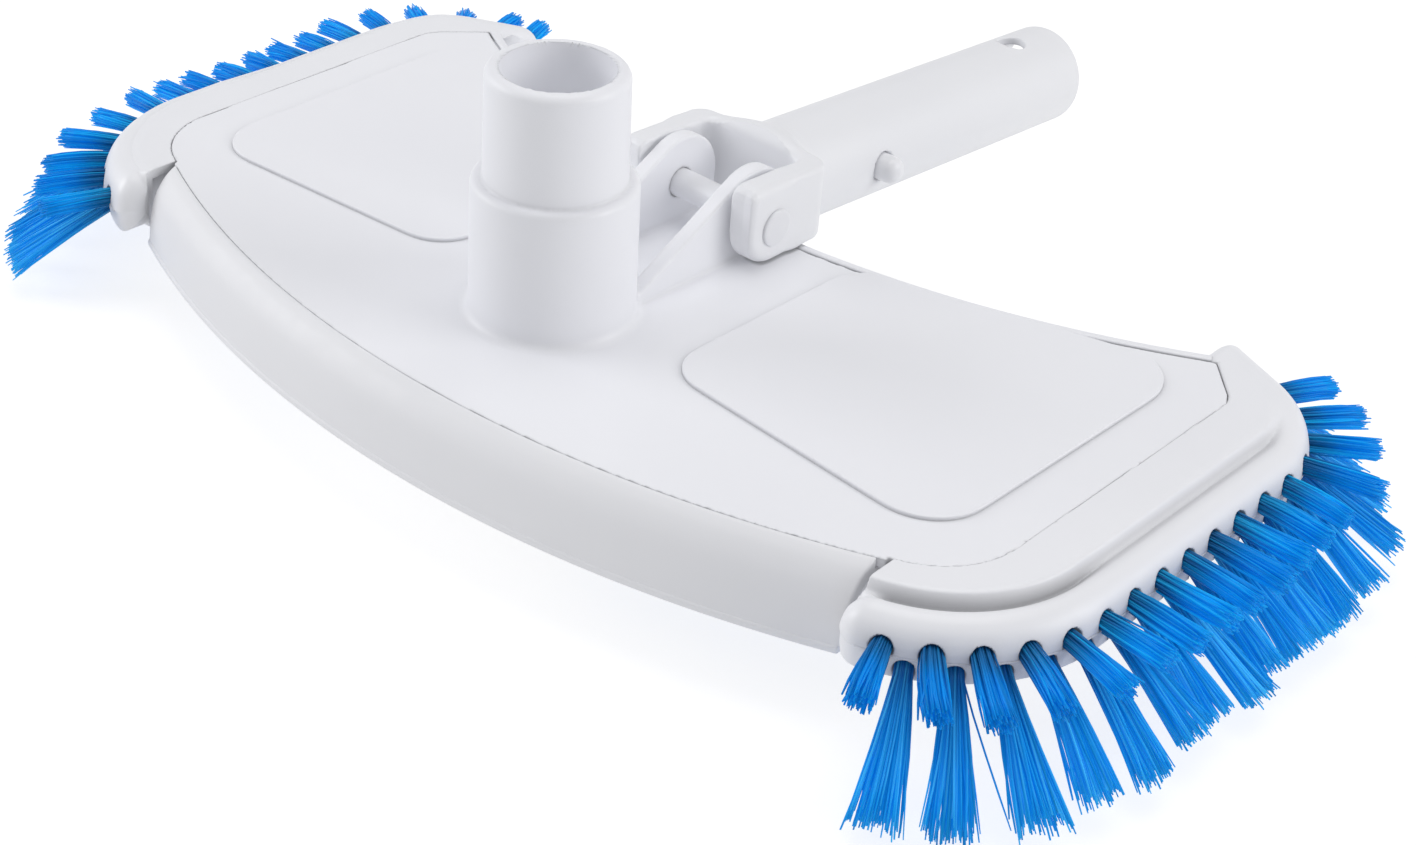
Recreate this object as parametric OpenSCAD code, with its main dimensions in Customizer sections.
// Manual vacuum head for a pool or spa, with side brushes and a clip-in pole handle.
// Frame: origin on the hose port's axis, about half way up its bore. +X along the head to
// the right, +Y back towards the pole handle, +Z up. Millimetres. Heights in the modules
// below are measured from the lower edge of the front bumper; drop brings them to the frame.

/* [Body] */
// Height of the top plate's upper face
plate_z = 19; // [18:0.5:20]
// Thickness of the top plate
plate_t = 2.6; // [2.2:0.1:2.8]
// Radius of the curved front seam
front_r = 281; // [280:1:282]
// Radius of the curved back edge
back_r = 238; // [237:1:239]
// Wall thickness of the shell
wall = 2.4; // [2:0.1:2.6]
// Height of the raised wing panels
panel_h = 0.7; // [0.4:0.1:1]

/* [Hose port] */
// Bore of the hose port
port_bore_d = 25.4; // [24:0.1:26]
// Outside diameter of the upper hose step
port_small_d = 32; // [31.6:0.1:32.2]
// Outside diameter of the lower hose step
port_large_d = 38; // [37.6:0.1:38.2]
// Height of the shoulder between the two steps
port_step_z = 52.4; // [50:0.2:54]
// Height of the port's rim
port_top_z = 78.7; // [76:0.1:80]

/* [Handle] */
// Outside diameter of the pole tube
tube_d = 27; // [26.6:0.1:27.2]
// Wall of the pole tube
tube_wall = 2.2; // [2:0.1:2.4]
// Resting slope of the handle
tilt = -4.03; // [-4.2:0.01:-3.8]
// Length from the hinge to the tube's open end
tube_len = 142.7; // [130:0.5:150]
// Diameter of the hinge pin
pin_d = 7.2; // [7:0.1:7.4]
// Position of the snap buttons along the tube
button_u = 51.5; // [48:0.5:56]
// Diameter of a snap button
button_d = 7; // [6.8:0.1:7.2]

/* [Brushes] */
// Number of tufts in the left side brush's upper row
left_n = 18; // [14:1:18]
// Number of tufts in the right side brush's upper row
right_n = 17; // [14:1:18]
// Number of tufts in a side brush's lower row
lower_n = 17; // [13:1:17]
// Spacing of the tufts along the cap's face
pitch = 9.86; // [9.6:0.02:9.9]
// Free length of an upper tuft
upper_len = 17; // [12:1:20]
// Free length of a lower tuft
lower_len = 29; // [24:1:32]
// Downward slope of the lower row
lower_dip = 32; // [30:1:34]

/* [Hidden] */
$fn = 72;
seam_fn = 720;
round_fn = 180;
pin_fn = 96;
tuft_fn = 24;
white = "#eef0f4";
blue = "#0f8fe0";
steel = "#b9bcc2";
iron = "#5c5e63";

drop = 47;
front_center = [0, 237.2];
back_center = [0, 300];
plate_low = plate_z - plate_t;
lap = 0.5; // overlap of the skirt, ribs and port with the plate
// centre of the hinge pin
pin_y = 52.9;
pin_z = 28.8;
pin_r = pin_d / 2;
// screw places in the right wing, [x, y]
cover_holes = [[54, -8], [54, 46], [98, 24]];
cap_holes = [[117, 13], [117, 62]];
cover_low = 2.6;
cover_high = 5;
tab_z = 7.5;
tab_t = 2.5;
seat_gap = 0.05; // between a screw boss and the part below it
head_gap = 0.02; // between a screw head and the part above it

// ---- Shared shapes ----
function outward(a) = [cos(a), sin(a)];
function along(a) = [-sin(a), cos(a)];
function arc(center, r, from, to, n) =
    [for (i = [0:n]) center + r * outward(from + (to - from) * i / n)];
function reversed(points) = [for (i = [len(points) - 1:-1:0]) points[i]];
// closes a right-hand half outline with its mirror image
function symmetric(half) = concat(half, [for (p = reversed(half)) [-p[0], p[1]]]);

module mirror_x() { mirror([1, 0, 0]) children(); }
module both() {
    children();
    mirror_x() children();
}
// upright cylinder over a plan point
module post(place, low, r, h) {
    translate([place[0], place[1], low]) cylinder(r = r, h = h);
}
// cylinder along X, centred on the origin
module cross_bar(r, length, facets = pin_fn) {
    translate([-length / 2, 0, 0]) rotate([0, 90, 0]) cylinder(r = r, h = length, $fn = facets);
}
// solid turned about X; profile rows are [radius, x]
module turned_x(profile) {
    rotate([0, 90, 0]) rotate_extrude($fn = pin_fn) polygon(profile);
}
module disc(center, r, low, high) {
    translate([center[0], center[1], low]) cylinder(r = r, h = high - low, $fn = seam_fn);
}
// keeps the part of a child that lies between the front and back curves
module between_curves(front, back, low, high) {
    difference() {
        intersection() {
            children();
            disc(front_center, front, low, high);
        }
        disc(back_center, back, low - 1, high + 1);
    }
}

// right end of the plate: a corner arc, then stations
// [x, y, x shift per mm of inset, y shift per mm of inset]
end_corner = [106.6, 2.2];
end_corner_r = 22.2;
end_stations = [[130.1, 76.4, 1, 0.1], [129.9, 80.6, 1, 0.3], [128.2, 83.8, 0.9, 0.45],
                [119.2, 94, 0.75, 0.65], [119.2, 150, 0.75, 0]];
function end_line(inset) = let (r = end_corner_r - inset) concat(
    [[end_corner[0] + r * cos(-74), -90]],
    arc(end_corner, r, -74, -1.1, 16),
    [for (s = end_stations) [s[0] - s[2] * inset, s[1] - s[3] * inset]]);

// slab of the body's plan shape
module slab(inset, front, back, low, high) {
    between_curves(front, back, low, high)
        translate([0, 0, low]) linear_extrude(high - low) polygon(symmetric(end_line(inset)));
}
// part of the right wing between two x planes
module wing(x0, x1, front, back, low, high) {
    between_curves(front, back, low, high)
        translate([x0, -80, low]) cube([x1 - x0, 220, high - low]);
}

// ---- Body ----
skirt_inset = 2.4;
skirt_front = front_r - skirt_inset;
skirt_back = back_r + 0.8;
boss_r = 4.2;
pilot_r = 1.5;

// rounded raised panel on the right wing
module panel_plan() {
    polygon(concat(
        arc([46.6, 9], 11, 180, 264, 8),
        arc([102.6, 7.2], 13.6, -96, -3, 10),
        arc([103.2, 69.6], 14.6, -2, 74, 10),
        [[80, 76.5], [60, 69.6]],
        arc([47, 57], 10.5, 100, 180, 8)));
}

module boss(place, low) { post(place, low, boss_r, plate_low + 0.25 - low); }

// lug that carries the hinge pin, drawn in [y, z]: sloping front edge tangent to a round head
lug_in = 9.2;
lug_out = 13.5;
lug_head = [53.9, 28.2];
lug_r = 12.3;
lug_foot = [14, 21.6];
lug_low = 17;
lug_slope = lug_head - lug_foot;
lug_dist = norm(lug_slope);
lug_angle = atan2(lug_slope[1], lug_slope[0]) + asin(lug_r / lug_dist);
lug_tangent = lug_foot + sqrt(lug_dist * lug_dist - lug_r * lug_r) * outward(lug_angle);
module lug() {
    back = lug_head[0] + lug_r;
    translate([lug_in, 0, 0]) rotate([90, 0, 90]) linear_extrude(lug_out - lug_in) {
        polygon([[lug_foot[0], lug_low], lug_foot, lug_tangent, lug_head,
                 [back, lug_head[1]], [back, 22], [61.6, lug_low]]);
        translate(lug_head) circle(r = lug_r, $fn = round_fn);
    }
}

// stepped hose port with a fillet at its foot and rounded step edges
module port_outer() {
    small_r = port_small_d / 2;
    large_r = port_large_d / 2;
    foot_r = large_r + 2.15;
    fillet = 2;
    step_round = 1.6;
    rim_round = 2.2;
    rotate_extrude($fn = round_fn) polygon(concat(
        [[0, plate_low + lap], [foot_r, plate_low + lap], [foot_r, plate_z]],
        arc([foot_r, plate_z + fillet], fillet, -90, -180, 6),
        [[large_r + 0.15, 30], [large_r, 30.8]],
        arc([large_r - step_round, port_step_z - step_round], step_round, 0, 90, 6),
        [[small_r, port_step_z]],
        arc([small_r - rim_round, port_top_z - rim_round], rim_round, 0, 90, 6),
        [[0, port_top_z]]));
}

// groove that the bumper's bead snaps into, cut only along the front
module bead_groove() {
    translate([0, front_center[1], 9.6]) difference() {
        cylinder(r = front_r - 2, h = 2.2, $fn = seam_fn);
        translate([0, 0, -1]) cylinder(r = front_r - 3.5, h = 5, $fn = seam_fn);
        translate([-400, -210, -1]) cube([800, 800, 5]);
    }
}

module body_shell() {
    color(white) difference() {
        union() {
            slab(0, front_r - 0.1, back_r, plate_low, plate_z);
            difference() {
                slab(skirt_inset, skirt_front, skirt_back, 1.5, plate_low + lap);
                slab(skirt_inset + wall, skirt_front - wall, skirt_back + wall, 0, plate_low);
            }
            both() {
                translate([0, 0, plate_z - 0.3]) linear_extrude(panel_h + 0.3) panel_plan();
                // rib between the suction chamber and the weight pocket
                wing(37.8, 40, front_r - 3, back_r + 1.5, 4, plate_low + lap);
                for (p = cover_holes) boss(p, cover_high + seat_gap);
                for (p = cap_holes) boss(p, tab_z + tab_t + seat_gap);
                lug();
            }
            port_outer();
        }
        translate([0, 0, plate_low - 5]) cylinder(d = port_bore_d, h = 80, $fn = round_fn);
        at_pin() cross_bar(pin_r + 0.05, 40);
        both() {
            for (p = cover_holes) post(p, 4, pilot_r, 11.5);
            for (p = cap_holes) {
                post(p, 9, pilot_r, 7);
                // opening for the end cap's tab
                translate([p[0] + 2, p[1] - 7.5, 0]) cube([14, 15, 10.2]);
            }
        }
        bead_groove();
    }
}

// ---- Front bumper ----
bumper_x = 111.2; // half length
// outline, [distance outside the front seam, z]: snap leg, hollow inside, rounded skin
bumper_outline = [
    [-2.25, 16.2], [-2.25, 11.5], [-3.3, 11.2], [-3.3, 10.1], [-2.25, 9.7], [-2.25, 8.6],
    [-0.4, 8.6], [-0.4, 14.2], [1.6, 14.1], [3.2, 13], [4.5, 11.2], [5.5, 8.6],
    [6.2, 5.4], [6.7, 2], [6.9, 0], [9.2, 0], [9.3, 1.2], [8.9, 1.7],
    [8.5, 4.4], [7.9, 8], [7.1, 11], [6, 13.6], [4.6, 15.7], [3, 17.4],
    [1.4, 18.5], [0.05, plate_z], [0.05, 16.2]];
module front_bumper() {
    color(white) intersection() {
        translate([-bumper_x, -70, -1]) cube([2 * bumper_x, 80, 22]);
        translate([0, front_center[1], 0]) rotate([0, 0, -115])
            rotate_extrude(angle = 50, $fn = seam_fn)
                polygon([for (p = bumper_outline) [front_r + p[0], p[1]]]);
    }
}

// ---- End caps ----
// path round the right end: front corner arc, straight side, back corner arc, straight tail
corner_f = [106, 6.5];
corner_fr = 33.7;
corner_br = 21;
side_angle = -1.25;
side_len = 69.3;
corner_shift = corner_fr - corner_br;
corner_b = corner_f + corner_shift * outward(side_angle) + side_len * along(side_angle);
tail_angle = 65;
tail_len = 21;
arc_f = (side_angle + 90) * corner_fr * PI / 180;
arc_b = (tail_angle - side_angle) * corner_br * PI / 180;
cap_front_x = 111.8;

// outward direction and place at distance t along the path; out moves the place outward
function path_angle(t) =
    t < arc_f ? -90 + t / corner_fr * 180 / PI
    : t < arc_f + side_len ? side_angle
    : side_angle + min(t - arc_f - side_len, arc_b) / corner_br * 180 / PI;
function path_point(t, out) = let (
        a = path_angle(t),
        front = corner_f + (corner_fr + out) * outward(a),
        tail = max(t - arc_f - side_len - arc_b, 0))
    t < arc_f ? front
    : t < arc_f + side_len ? front + (t - arc_f) * along(a)
    : corner_b + (corner_br + out) * outward(a) + tail * along(a);

// distance along the path for a distance along the cap's outer face
face_out = 9.4;
stretch_f = (corner_fr + face_out) / corner_fr;
stretch_b = (corner_br + face_out) / corner_br;
function face_t(distance) = let (
        past_front = distance - arc_f * stretch_f,
        past_side = past_front - side_len,
        past_back = past_side - arc_b * stretch_b)
    past_front < 0 ? distance / stretch_f
    : past_side < 0 ? arc_f + past_front
    : past_back < 0 ? arc_f + side_len + past_side / stretch_b
    : arc_f + side_len + arc_b + past_back;

// cross-sections, [distance outside the path, z]: lower lip, step and rounded bead
cap_bead = [
    [-2, 3], [8.4, 3], [9, 3.6], [9.2, 8.5], [9.8, 8.7], [9.8, 9.4], [9.5, 11.2],
    [8.8, 13], [7.7, 14.6], [6.2, 15.9], [4.6, 16.5], [3.2, 16.3], [1.7, 14.9],
    [0.8, 15.2], [0, 18.2], [-0.9, plate_z], [-3, plate_z], [-3, plate_low], [-2, plate_low]];
cap_flange = [[-14, plate_low], [-2.5, plate_low], [-2.5, plate_z], [-14, plate_z]];

module ring(r, profile) {
    rotate_extrude($fn = 240) translate([r, 0]) polygon(profile);
}
module quadrant(y) { translate([0, y, -10]) cube([100, 100, 60]); }
module straight(length, profile) {
    rotate([90, 0, 0]) linear_extrude(length) polygon(profile);
}
// the profile carried along the path; each corner is a full turn cut at its neighbours' faces
module swept(profile) {
    turn = tail_angle - side_angle;
    translate(corner_f) rotate([0, 0, side_angle]) {
        intersection() {
            ring(corner_fr, profile);
            quadrant(-100);
        }
        translate([corner_fr, side_len, 0]) straight(side_len, profile);
        translate([corner_shift, side_len, 0]) {
            intersection() {
                ring(corner_br, profile);
                quadrant(0);
                rotate([0, 0, turn]) quadrant(-100);
            }
            rotate([0, 0, turn]) translate([corner_br - 0.08, tail_len, -0.05])
                straight(tail_len + 2, profile);
        }
    }
}

// ---- Tuft rows of the side brushes ----
upper_start = 17.3; // along the cap's face
upper_z = 10.2;
upper_r = 2.35;
upper_hole = 8; // depth
lower_start = 22.2;
lower_out = 8.9;
lower_z = 5.6;
lower_r = 2.05;
lower_hole = 5.4;
long_n = 3; // longer lower tufts at the front
long_extra = 6;
tuft_gap = 0.05;

// frame at a tuft's root: local +X points out of the hole
module tuft_at(t, out, z, dip) {
    place = path_point(t, out);
    translate([place[0], place[1], z])
        rotate([0, 0, path_angle(t)]) rotate([0, dip, 0]) children();
}
module at_upper(n) {
    for (i = [0:n - 1]) tuft_at(face_t(upper_start + pitch * i), face_out, upper_z, 0) children();
}
module at_lower(first = 0, last = lower_n - 1) {
    for (i = [first:last])
        tuft_at(face_t(lower_start + pitch * i), lower_out, lower_z, lower_dip) children();
}
module rod(r1, r2, h, x) {
    translate([x, 0, 0]) rotate([0, 90, 0]) cylinder(r1 = r1, r2 = r2, h = h, $fn = tuft_fn);
}
// round root in its hole, and a bundle that spreads towards the tips
module tuft(root_r, depth, stub, tip_r, length) {
    rod(root_r, root_r, depth + stub, -depth);
    rod(root_r, tip_r, length, stub - 0.01);
}

module end_cap(n) {
    difference() {
        union() {
            swept(cap_bead);
            difference() {
                swept(cap_flange);
                translate([0, 0, plate_low - 1]) linear_extrude(5)
                    polygon(symmetric(end_line(-0.15)));
            }
            // tabs that reach under the body and take the screws
            for (p = cap_holes) translate([p[0] - 4.5, p[1] - 6.8, tab_z]) cube([27, 13.6, tab_t]);
        }
        for (p = cap_holes) post(p, 5, 2, 8);
        // front end face, square to the bumper
        translate([cap_front_x - 60, -80, -1]) cube([60, 90, 40]);
        // back end face
        translate([0, 90, -1]) cube([114.6, 60, 40]);
        at_upper(n) rod(upper_r + tuft_gap, upper_r + tuft_gap, 9, -upper_hole);
        at_lower() rod(lower_r + tuft_gap, lower_r + tuft_gap, 8, -lower_hole);
    }
}
module left_end_cap() { color(white) mirror_x() end_cap(left_n); }
module right_end_cap() { color(white) end_cap(right_n); }

module upper_row(n) { at_upper(n) tuft(upper_r, 6.6, 0.2, 3.5, upper_len); }
module lower_tuft(length) { tuft(lower_r, 4.2, 0.1, 4, length); }
module lower_row() {
    at_lower(last = long_n - 1) lower_tuft(lower_len + long_extra);
    at_lower(first = long_n) lower_tuft(lower_len);
}
module left_upper_bristles() { color(blue) mirror_x() upper_row(left_n); }
module right_upper_bristles() { color(blue) upper_row(right_n); }
module left_lower_bristles() { color(blue) mirror_x() lower_row(); }
module right_lower_bristles() { color(blue) lower_row(); }

// wire anchors that hold the folded tufts at the bottom of their holes
module staple(hole, length, width) {
    wire = 0.5;
    translate([0.1 - hole, -width / 2, -wire / 2]) cube([length, width, wire]);
}
module staples(n) {
    at_upper(n) staple(upper_hole, 1.2, 4.2);
    at_lower() staple(lower_hole, 1, 3.6);
}
module left_tuft_staples() { color(steel) mirror_x() staples(left_n); }
module right_tuft_staples() { color(steel) staples(right_n); }

// ---- Weights and their covers ----
// cast ballast plate in a wing
module weight() {
    difference() {
        wing(44, 106, front_r - 9, back_r + 7, 8.5, 16.1);
        for (p = cover_holes) post(p, 5, 4.8, 20);
    }
}
module left_weight() { color(iron) mirror_x() weight(); }
module right_weight() { color(iron) weight(); }

// floor tufts stand in two curved rails of the weight cover
floor_n = 7;
floor_start = 47.5;
floor_pitch = 9.3;
floor_r = 2.05;
rail_f = front_r - 12.5;
rail_b = back_r + 10.5;
function rail_y(center, r, x) = center[1] - sqrt(r * r - x * x);
floor_places = [for (i = [0:floor_n - 1])
    let (x = floor_start + floor_pitch * i)
    each [[x, rail_y(front_center, rail_f, x)], [x, rail_y(back_center, rail_b, x)]]];

module weight_cover() {
    rib_low = 2.8;
    rib_high = 8.3;
    difference() {
        union() {
            wing(41.5, 108, front_r - 7.5, back_r + 5.5, cover_low, cover_high);
            difference() {
                wing(43, 107, front_r - 8, back_r + 6, rib_low, rib_high);
                wing(42, 108, front_r - 17, back_r + 15, 2, 9);
            }
            // middle rib from rail to rail
            wing(72.9, 75.1, front_r - 8, back_r + 6, rib_low, rib_high);
        }
        for (p = cover_holes) post(p, 0, 1.9, 10);
        for (p = floor_places) post(p, 1, floor_r + tuft_gap, 6.6, $fn = tuft_fn);
    }
}
module left_weight_cover() { color(white) mirror_x() weight_cover(); }
module right_weight_cover() { color(white) weight_cover(); }

module floor_rows() {
    for (p = floor_places) {
        post(p, 2.4, floor_r, 5.1, $fn = tuft_fn);
        translate([p[0], p[1], -9.6]) cylinder(r1 = 3, r2 = floor_r, h = 12.1, $fn = tuft_fn);
    }
}
module left_floor_bristles() { color(blue) mirror_x() floor_rows(); }
module right_floor_bristles() { color(blue) floor_rows(); }

// cross-slotted screw with the top of its head at z
module screw(place, z, shank, head_r) {
    head_h = 1.9;
    translate([place[0], place[1], z - head_h]) difference() {
        cylinder(r = head_r, h = head_h);
        for (a = [0, 90]) rotate([0, 0, a]) translate([-1.9, -0.45, -0.1]) cube([3.8, 0.9, 1.2]);
    }
    post(place, z - 0.1, 1.45, shank);
}
module cover_screws() {
    color(steel) both() for (p = cover_holes) screw(p, cover_low - head_gap, 12, 3.2);
}
module end_cap_screws() {
    color(steel) both() for (p = cap_holes) screw(p, tab_z - head_gap, 8, 3.4);
}

// ---- Handle ----
// point where the tube's axis crosses the hinge plane
hub_y = 54;
hub_z = 27.32;
ear_in = 14.6;
ear_out = 21.3;
foot_r = 9.5; // from the pin's centre to the yoke's flat foot
tube_r = tube_d / 2;
tube_start = 18.5;
collar_len = 38.5;

module at_pin() { translate([0, pin_y, pin_z]) children(); }
// frame of the pole tube: local +Y along the tube, origin on its axis at the hinge
module on_tube() { translate([0, hub_y, hub_z]) rotate([tilt, 0, 0]) children(); }

// right halves of the yoke's outline and of the gap between its ears, [x, y]
yoke_half = concat(
    [[ear_in, 40], [ear_out - 1.2, 40], [ear_out, 41.4]],
    arc([ear_out - 4, 69.4], 4, 0, 90, 6),
    [[12.5, 73.4], [9.5, 74.6], [6.4, 77], [3, 80]]);
gap_half = concat([[ear_in, 30]], arc([ear_in - 3, 65.3], 3, 0, 90, 6));
// side shape, [y, z]: flat foot and flat front
foot_z = pin_z - foot_r;
yoke_front = pin_y - foot_r - 0.05;
yoke_side = [
    [pin_y, foot_z], [71, foot_z], [72.6, 20.2], [73.4, 22], [82, 22], [82, 38], [72, 39],
    [46.3, 40.3], [43.9, 39.4], [yoke_front, 37.2], [yoke_front, pin_z], [pin_y, pin_z]];
module yoke() {
    intersection() {
        translate([0, 0, 15]) linear_extrude(30) difference() {
            polygon(symmetric(yoke_half));
            polygon(symmetric(gap_half));
        }
        translate([-30, 0, 0]) rotate([90, 0, 90]) linear_extrude(60) union() {
            translate([pin_y, pin_z]) circle(r = foot_r, $fn = 120);
            polygon(yoke_side);
        }
    }
}
// solid tube with a slightly wider collar at the hinge end and a rounded open end
module tube_outer() {
    length = tube_len - tube_start;
    collar_r = tube_r + 0.1;
    end_round = 2;
    translate([0, tube_start, 0]) rotate([-90, 0, 0])
        rotate_extrude($fn = round_fn) polygon(concat(
            [[0, 0], [collar_r, 0], [collar_r, collar_len], [tube_r, collar_len + 0.5]],
            arc([tube_r - end_round, length - end_round], end_round, 0, 90, 6),
            [[0, length]]));
}
module handle() {
    color(white) difference() {
        union() {
            yoke();
            on_tube() tube_outer();
        }
        on_tube() {
            translate([0, 26, 0]) rotate([-90, 0, 0])
                cylinder(r = tube_r - tube_wall, h = tube_len, $fn = round_fn);
            translate([0, button_u, 0]) cross_bar(button_d / 2 + 0.4, 40);
            // pole hole near the open end
            translate([0, 124, -20]) cylinder(r = 3.9, h = 40, $fn = pin_fn);
        }
        at_pin() cross_bar(pin_r + 0.02, 60);
    }
}

// ---- Hinge pin ----
pin_head_r = 5;
pin_end = ear_out + 1.1;
// pin with a chamfered left end and a flat head on the right
module hinge_pin() {
    color(white) at_pin() turned_x([
        [0, -pin_end], [pin_r - 0.5, -pin_end], [pin_r, -ear_out - 0.6], [pin_r, ear_out + 0.02],
        [pin_head_r, ear_out + 0.02], [pin_head_r, ear_out + 0.7], [4.6, pin_end], [0, pin_end]]);
}
// cap over the pin's left end
module pin_retainer() {
    bore_r = pin_r + 0.02;
    inner_x = -ear_out - 0.02;
    floor_x = -pin_end - 0.02;
    color(white) at_pin() turned_x([
        [bore_r, inner_x], [pin_head_r, inner_x], [pin_head_r, -ear_out - 1.5],
        [4.5, -ear_out - 2], [0, -ear_out - 2], [0, floor_x], [bore_r, floor_x]]);
}

// ---- Snap buttons and their spring ----
peg_r = 1.5;
spring_x = 8.15; // outer face of a spring leg
spring_t = 0.7;
spring_w = 7;
bend_y = 31.5;
bend_r = 2.4;

// domed nub, inner flange and a peg through the spring
module snap_button() {
    flange_r = 5;
    flange_x = spring_x + 0.05;
    nub_r = button_d / 2;
    dome = 2.6;
    on_tube() translate([0, button_u, 0]) turned_x(concat(
        [[0, 6.9], [peg_r, 6.9], [peg_r, flange_x], [flange_r, flange_x],
         [flange_r, 9.4], [nub_r, 9.4]],
        arc([nub_r - dome, 16.2], dome, 0, 90, 8),
        [[0, 18.8]]));
}
module left_snap_button() { color(white) mirror_x() snap_button(); }
module right_snap_button() { color(white) snap_button(); }

// one face of the spring strip, from the right leg's end round the bend to the left leg's
function spring_line(inset, leg) = let (x = spring_x - inset) concat(
    [[x, button_u + 6], [x, button_u - leg]],
    arc([0, bend_y], bend_r - inset, -20, -160, 12),
    [[-x, button_u - leg], [-x, button_u + 6]]);
// bent steel strip that pushes the buttons out
module button_spring() {
    color(steel) on_tube() difference() {
        translate([0, 0, -spring_w / 2]) linear_extrude(spring_w)
            polygon(concat(spring_line(0, 5), reversed(spring_line(spring_t, 4.8))));
        translate([0, button_u, 0]) cross_bar(peg_r + 0.15, 40, facets = 48);
    }
}

module placed() { translate([0, 0, -drop]) children(); }

placed() body_shell();
placed() front_bumper();
placed() left_end_cap();
placed() right_end_cap();
placed() left_upper_bristles();
placed() right_upper_bristles();
placed() left_lower_bristles();
placed() right_lower_bristles();
placed() left_floor_bristles();
placed() right_floor_bristles();
placed() left_tuft_staples();
placed() right_tuft_staples();
placed() left_weight();
placed() right_weight();
placed() left_weight_cover();
placed() right_weight_cover();
placed() cover_screws();
placed() end_cap_screws();
placed() handle();
placed() hinge_pin();
placed() pin_retainer();
placed() left_snap_button();
placed() right_snap_button();
placed() button_spring();
